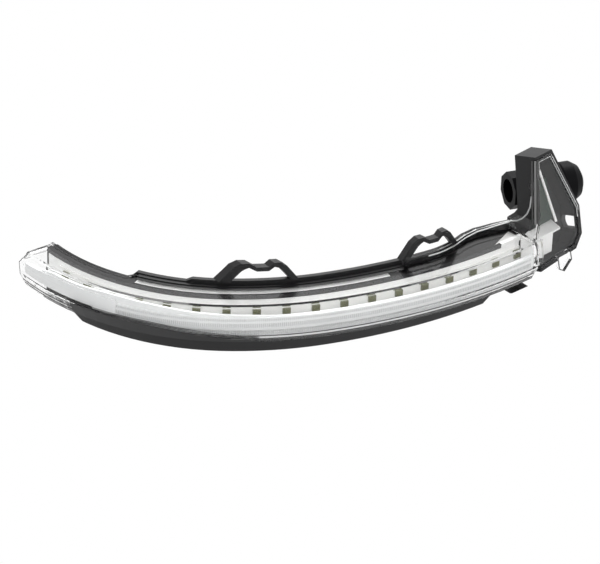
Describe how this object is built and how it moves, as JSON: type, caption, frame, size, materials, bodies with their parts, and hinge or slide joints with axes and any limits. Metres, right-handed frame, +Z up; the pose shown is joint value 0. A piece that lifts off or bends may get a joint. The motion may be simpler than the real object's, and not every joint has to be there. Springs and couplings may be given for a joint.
{
  "type": "side repeater lamp",
  "caption": "Curved side repeater lamp: a row of small lamps with a ribbed light guide behind a clear lens, black housing with two spring loops, a tall inner end and a plug socket.",
  "frame": {"origin": "centre of the mouth of the screw boss on the housing's back, at the height of the lamps' middle", "axes": "+X along the lamp from its outer tip to its inner end, +Y to the back, away from the lens, +Z up"},
  "size_m": [0.2531, 0.1234, 0.0653],
  "materials": {
    "black_plastic": "fine satin black moulding",
    "clear_plastic": "clear polished acrylic",
    "frosted_plastic": "ribbed translucent moulding",
    "white_plastic": "bright white moulding",
    "strip_white": "white solder resist",
    "lamp_body": "yellow phosphor in a pale package",
    "socket_plastic": "black moulding",
    "terminal_metal": "plated contact",
    "board_green": "green solder resist"
  },
  "bodies": {
    "root": {"housing": "black_plastic", "lens": "clear_plastic", "light_guide": "frosted_plastic", "reflector": "white_plastic", "end_plate": "white_plastic", "lamp_strip": "strip_white", "lamp_01": "lamp_body", "lamp_02": "lamp_body", "lamp_03": "lamp_body", "lamp_04": "lamp_body", "lamp_05": "lamp_body", "lamp_06": "lamp_body", "lamp_07": "lamp_body", "lamp_08": "lamp_body", "lamp_09": "lamp_body", "lamp_10": "lamp_body", "lamp_11": "lamp_body", "lamp_12": "lamp_body", "lamp_13": "lamp_body", "lamp_14": "lamp_body", "lamp_15": "lamp_body", "lamp_16": "lamp_body", "lamp_17": "lamp_body", "lamp_18": "lamp_body", "plug_socket": "socket_plastic", "terminals": "terminal_metal", "light_rod": "white_plastic", "driver_board": "board_green"}
  },
  "joints": []
}
